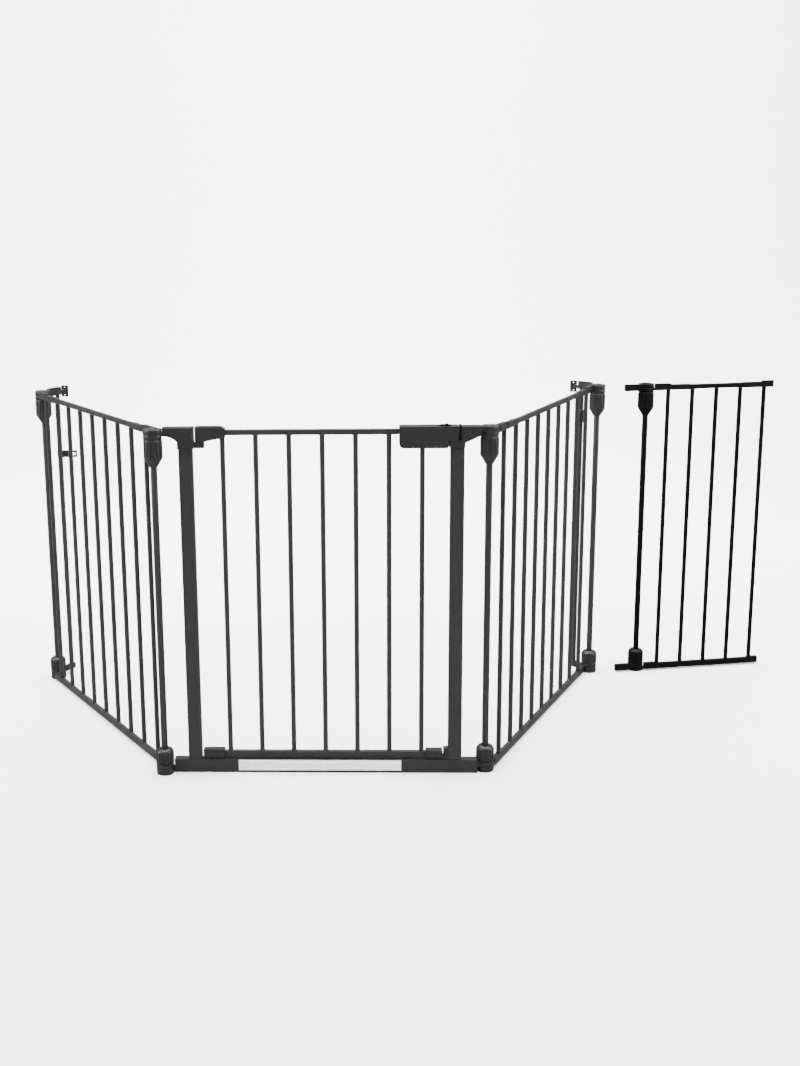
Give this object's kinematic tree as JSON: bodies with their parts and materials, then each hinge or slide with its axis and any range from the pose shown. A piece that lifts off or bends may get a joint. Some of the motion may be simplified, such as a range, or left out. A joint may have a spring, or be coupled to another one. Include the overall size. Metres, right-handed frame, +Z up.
{
  "type": "baby safety gate",
  "caption": "Folding metal baby safety gate with a lift-to-open door between two barred side sections, wall arms and a loose extension panel.",
  "frame": {"origin": "underside of the threshold beam, midway between its two ends", "axes": "+X along the door from the hinge side to the latch side, +Y to the guarded side, +Z up"},
  "size_m": [1.9358, 0.7486, 0.7925],
  "materials": {
    "enamelled_steel": "satin grey powder coat",
    "moulded_plastic": "fine matt moulded plastic",
    "dark_enamel": "satin near-black powder coat",
    "dark_plastic": "fine matt black plastic",
    "label_film": "white printed film, left blank",
    "zinc_fixings": "dark coated steel fixings"
  },
  "bodies": {
    "door_frame": {"threshold_beam": "enamelled_steel", "threshold_label": "label_film", "threshold_end_rings": "moulded_plastic", "frame_uprights": "enamelled_steel", "hinge_side_cap": "moulded_plastic", "latch_side_cap": "moulded_plastic", "bottom_keeper": "moulded_plastic", "door_hub_posts": "enamelled_steel"},
    "leaf_carrier": {"hinge_pins": "zinc_fixings"},
    "leaf": {"leaf_top_rail": "enamelled_steel", "leaf_bottom_rail": "enamelled_steel", "leaf_bars": "enamelled_steel", "leaf_hinge_block": "moulded_plastic", "leaf_hinge_shoe": "moulded_plastic", "leaf_latch_shoe": "moulded_plastic", "handle_front_shell": "moulded_plastic", "handle_back_shell": "moulded_plastic", "latch_pin": "zinc_fixings"},
    "lock": {"lock_slider": "dark_plastic"},
    "left_section": {"left_top_rail": "enamelled_steel", "left_bottom_rail": "enamelled_steel", "left_bars": "enamelled_steel", "left_arm_castings": "moulded_plastic", "left_rail_sleeves": "moulded_plastic", "left_arm_screws": "zinc_fixings", "left_far_post": "enamelled_steel"},
    "right_section": {"right_top_rail": "enamelled_steel", "right_bottom_rail": "enamelled_steel", "right_bars": "enamelled_steel", "right_arm_castings": "moulded_plastic", "right_rail_sleeves": "moulded_plastic", "right_arm_screws": "zinc_fixings", "right_far_post": "enamelled_steel"},
    "left_wall_arm": {"left_wall_castings": "moulded_plastic", "left_wall_bar": "enamelled_steel", "left_wall_plate": "moulded_plastic", "left_wall_clip": "moulded_plastic"},
    "right_wall_arm": {"right_wall_castings": "moulded_plastic", "right_wall_bar": "enamelled_steel", "right_wall_plate": "moulded_plastic", "right_wall_clip": "moulded_plastic"},
    "extension": {"ext_top_rail": "dark_enamel", "ext_bottom_rail": "dark_enamel", "ext_bars": "dark_enamel", "ext_arm_castings": "dark_plastic", "ext_rail_sleeves": "dark_plastic", "ext_arm_screws": "zinc_fixings", "ext_post": "dark_enamel"},
    "extension_stub": {"ext_stub_castings": "dark_plastic"},
    "near_left_top_lock": {"near_left_top_collar": "moulded_plastic"},
    "near_left_foot_lock": {"near_left_foot_collar": "moulded_plastic"},
    "near_right_top_lock": {"near_right_top_collar": "moulded_plastic"},
    "near_right_foot_lock": {"near_right_foot_collar": "moulded_plastic"},
    "far_left_top_lock": {"far_left_top_collar": "moulded_plastic"},
    "far_left_foot_lock": {"far_left_foot_collar": "moulded_plastic"},
    "far_right_top_lock": {"far_right_top_collar": "moulded_plastic"},
    "far_right_foot_lock": {"far_right_foot_collar": "moulded_plastic"},
    "ext_top_lock": {"ext_top_collar": "dark_plastic"},
    "ext_foot_lock": {"ext_foot_collar": "dark_plastic"}
  },
  "joints": [
    {"name": "leaf_lift", "type": "slide", "parent": "door_frame", "child": "leaf_carrier", "axis": [0, 0, 1], "range_m": [0, 0.008]},
    {"name": "leaf_swing", "type": "hinge", "parent": "leaf_carrier", "child": "leaf", "pos_m": [-0.2605, 0, 0], "axis": [0, 0, 1], "range_deg": [-90, 90]},
    {"name": "lock_slide", "type": "slide", "parent": "leaf", "child": "lock", "axis": [-1, 0, 0], "range_m": [0, 0.01], "stiffness_N_per_m": 400, "springref_m": -0.006},
    {"name": "left_fold", "type": "hinge", "parent": "door_frame", "child": "left_section", "pos_m": [-0.36, -0.0115, 0], "axis": [0, 0, 1], "range_deg": [-34, 145]},
    {"name": "right_fold", "type": "hinge", "parent": "door_frame", "child": "right_section", "pos_m": [0.36, 0.0115, 0], "axis": [0, 0, 1], "range_deg": [-153, 26]},
    {"name": "left_wall_swivel", "type": "hinge", "parent": "left_section", "child": "left_wall_arm", "pos_m": [-0.74674, 0.59625, 0], "axis": [0, 0, 1], "range_deg": [-80, 80]},
    {"name": "right_wall_swivel", "type": "hinge", "parent": "right_section", "child": "right_wall_arm", "pos_m": [0.69741, 0.64796, 0], "axis": [0, 0, 1], "range_deg": [-86, 36]},
    {"name": "extension_lift_off", "type": "slide", "parent": "door_frame", "child": "extension", "axis": [0, 0, 1], "range_m": [0, 0.1]},
    {"name": "extension_stub_swivel", "type": "hinge", "parent": "extension", "child": "extension_stub", "pos_m": [0.826, 0.662, 0], "axis": [0, 0, 1], "range_deg": [-90, 80]},
    {"name": "near_left_top_unlock", "type": "slide", "parent": "door_frame", "child": "near_left_top_lock", "axis": [0, 0, -1], "range_m": [0, 0.008], "stiffness_N_per_m": 150, "springref_m": -0.01},
    {"name": "near_left_foot_unlock", "type": "slide", "parent": "door_frame", "child": "near_left_foot_lock", "axis": [0, 0, 1], "range_m": [0, 0.008], "stiffness_N_per_m": 150, "springref_m": -0.01},
    {"name": "near_right_top_unlock", "type": "slide", "parent": "door_frame", "child": "near_right_top_lock", "axis": [0, 0, -1], "range_m": [0, 0.008], "stiffness_N_per_m": 150, "springref_m": -0.01},
    {"name": "near_right_foot_unlock", "type": "slide", "parent": "door_frame", "child": "near_right_foot_lock", "axis": [0, 0, 1], "range_m": [0, 0.008], "stiffness_N_per_m": 150, "springref_m": -0.01},
    {"name": "far_left_top_unlock", "type": "slide", "parent": "left_section", "child": "far_left_top_lock", "axis": [0, 0, -1], "range_m": [0, 0.008], "stiffness_N_per_m": 150, "springref_m": -0.01},
    {"name": "far_left_foot_unlock", "type": "slide", "parent": "left_section", "child": "far_left_foot_lock", "axis": [0, 0, 1], "range_m": [0, 0.008], "stiffness_N_per_m": 150, "springref_m": -0.01},
    {"name": "far_right_top_unlock", "type": "slide", "parent": "right_section", "child": "far_right_top_lock", "axis": [0, 0, -1], "range_m": [0, 0.008], "stiffness_N_per_m": 150, "springref_m": -0.01},
    {"name": "far_right_foot_unlock", "type": "slide", "parent": "right_section", "child": "far_right_foot_lock", "axis": [0, 0, 1], "range_m": [0, 0.008], "stiffness_N_per_m": 150, "springref_m": -0.01},
    {"name": "ext_top_unlock", "type": "slide", "parent": "extension", "child": "ext_top_lock", "axis": [0, 0, -1], "range_m": [0, 0.008], "stiffness_N_per_m": 150, "springref_m": -0.01},
    {"name": "ext_foot_unlock", "type": "slide", "parent": "extension", "child": "ext_foot_lock", "axis": [0, 0, 1], "range_m": [0, 0.008], "stiffness_N_per_m": 150, "springref_m": -0.01}
  ]
}
